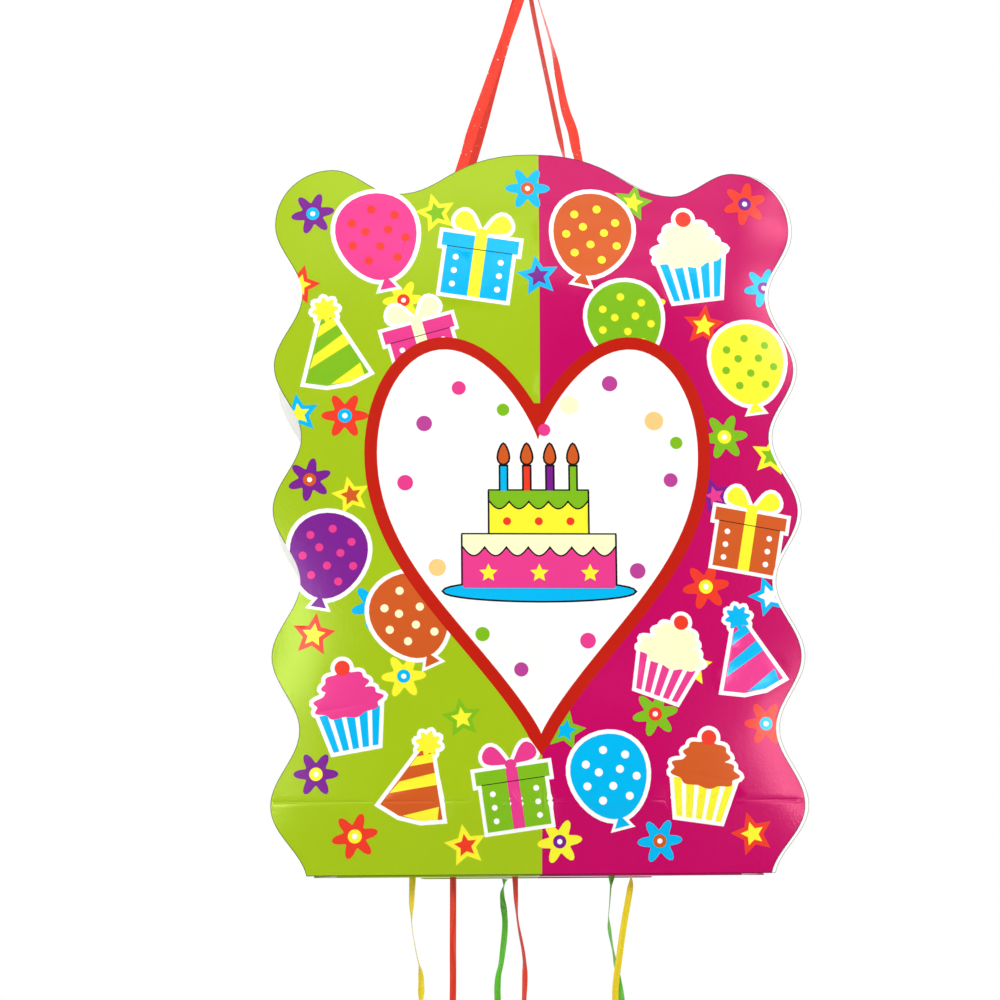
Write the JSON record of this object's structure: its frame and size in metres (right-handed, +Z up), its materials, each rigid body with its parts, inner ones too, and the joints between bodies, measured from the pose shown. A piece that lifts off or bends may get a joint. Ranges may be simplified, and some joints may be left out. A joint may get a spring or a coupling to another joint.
{
  "type": "pull-ribbon pinata",
  "caption": "Hanging card pinata with two wavy printed faces on a folded box, a fill flap on top and a trapdoor in the bottom that a pull ribbon opens.",
  "frame": {"origin": "where a hook bears inside the top of the hanging loop", "axes": "+Z up along the hanging line, front face towards -Y, +X to the right as seen from the front"},
  "size_m": [0.3346, 0.09, 0.9848],
  "materials": {
    "print_gloss": "glossy laminated print on card, lime left half and magenta right half",
    "white_board": "plain white card board, matt",
    "inner_card": "plain white folded card, matt",
    "printed_card": "glossy laminated print on folded card",
    "orange_ribbon": "orange-red woven ribbon with a slight sheen",
    "red_ribbon": "ribbed curling ribbon, satin",
    "yellow_ribbon": "ribbed curling ribbon, satin",
    "green_ribbon": "ribbed curling ribbon, satin"
  },
  "bodies": {
    "hanger": {"hang_loop": "orange_ribbon", "hang_knot": "orange_ribbon"},
    "box": {"front_print": "print_gloss", "front_board": "white_board", "back_board": "white_board", "back_print": "print_gloss", "left_wall": "inner_card", "right_wall": "inner_card", "top_wall": "inner_card", "bottom_wall": "printed_card", "hang_ribbon_front_left": "orange_ribbon", "hang_ribbon_front_right": "orange_ribbon", "hang_ribbon_back_left": "orange_ribbon", "hang_ribbon_back_right": "orange_ribbon", "top_knot_front_left": "orange_ribbon", "top_knot_front_right": "orange_ribbon", "top_knot_back_left": "orange_ribbon", "top_knot_back_right": "orange_ribbon", "pull_ribbon_yellow_left": "yellow_ribbon", "pull_ribbon_red_left": "red_ribbon", "pull_ribbon_red_middle": "red_ribbon", "pull_ribbon_green_right": "green_ribbon", "pull_ribbon_yellow_right": "yellow_ribbon", "pull_knot_yellow_left": "yellow_ribbon", "pull_knot_red_left": "red_ribbon", "pull_knot_red_middle": "red_ribbon", "pull_knot_green_right": "green_ribbon", "pull_knot_yellow_right": "yellow_ribbon"},
    "fill_flap": {"fill_flap": "inner_card"},
    "trapdoor": {"trapdoor": "printed_card", "release_knot": "green_ribbon"},
    "release_ribbon": {"release_ribbon": "green_ribbon"}
  },
  "joints": [
    {"name": "hang_swing", "type": "hinge", "parent": "hanger", "child": "box", "pos_m": [0, 0, -0.04], "axis": [1, 0, 0], "range_deg": [-40, 40]},
    {"name": "fill_flap_hinge", "type": "hinge", "parent": "box", "child": "fill_flap", "pos_m": [-0.008, 0.024, -0.2256], "axis": [1, 0, 0], "range_deg": [-95, 0]},
    {"name": "trapdoor_hinge", "type": "hinge", "parent": "box", "child": "trapdoor", "pos_m": [0, 0.039, -0.6509], "axis": [1, 0, 0], "range_deg": [0, 90]},
    {"name": "release_ribbon_swing", "type": "hinge", "parent": "trapdoor", "child": "release_ribbon", "pos_m": [-0.02, -0.012, -0.6527], "axis": [1, 0, 0], "range_deg": [-90, 0]}
  ],
  "couplings": [
    {"joint": "release_ribbon_swing", "follows": "trapdoor_hinge", "ratio": -1}
  ]
}
